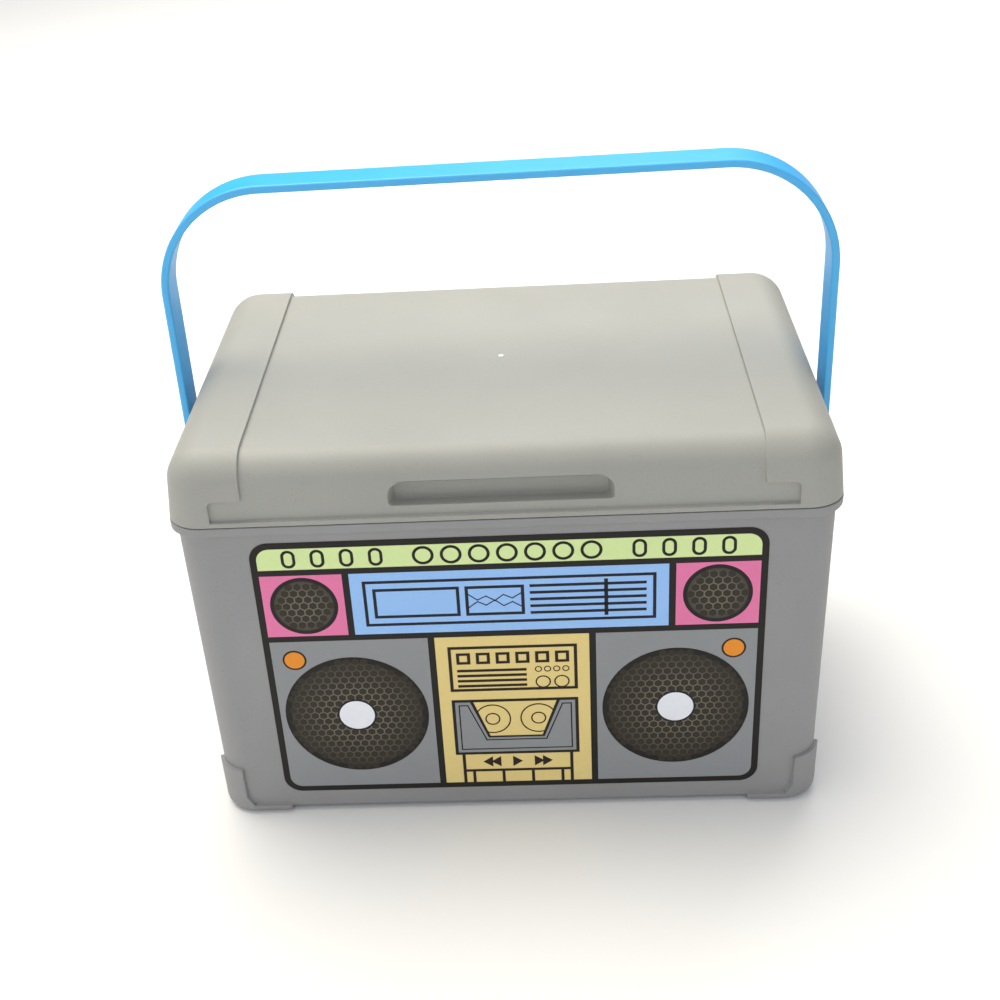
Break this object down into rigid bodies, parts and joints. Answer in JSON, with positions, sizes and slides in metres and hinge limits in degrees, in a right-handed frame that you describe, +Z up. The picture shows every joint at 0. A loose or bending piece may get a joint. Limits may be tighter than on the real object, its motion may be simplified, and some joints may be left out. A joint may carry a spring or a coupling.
{
  "type": "lidded carry box",
  "caption": "Moulded plastic carry box with a lift-off lid, a swinging strap handle and a boombox picture printed on its front.",
  "frame": {"origin": "on the ground, midway between the four corner feet", "axes": "+X to the right of the printed front, the front faces -Y, +Z up"},
  "size_m": [0.257, 0.16, 0.2362],
  "materials": {
    "moulded_grey": "fine moulded grain",
    "lid_grey": "fine moulded grain",
    "strap_blue": "smooth",
    "rivet_blue": "smooth",
    "printed_film": "printed"
  },
  "bodies": {
    "tub": {"tub": "moulded_grey", "front_label": "printed_film", "left_pivot_rivet": "rivet_blue", "right_pivot_rivet": "rivet_blue"},
    "lid": {"lid": "lid_grey"},
    "handle": {"strap_handle": "strap_blue"}
  },
  "joints": [
    {"name": "lid_lift", "type": "slide", "parent": "tub", "child": "lid", "axis": [0, 0, 1], "range_m": [0, 0.045]},
    {"name": "handle_swing", "type": "hinge", "parent": "tub", "child": "handle", "pos_m": [0, 0, 0.117], "axis": [1, 0, 0], "range_deg": [-120, 120]}
  ]
}
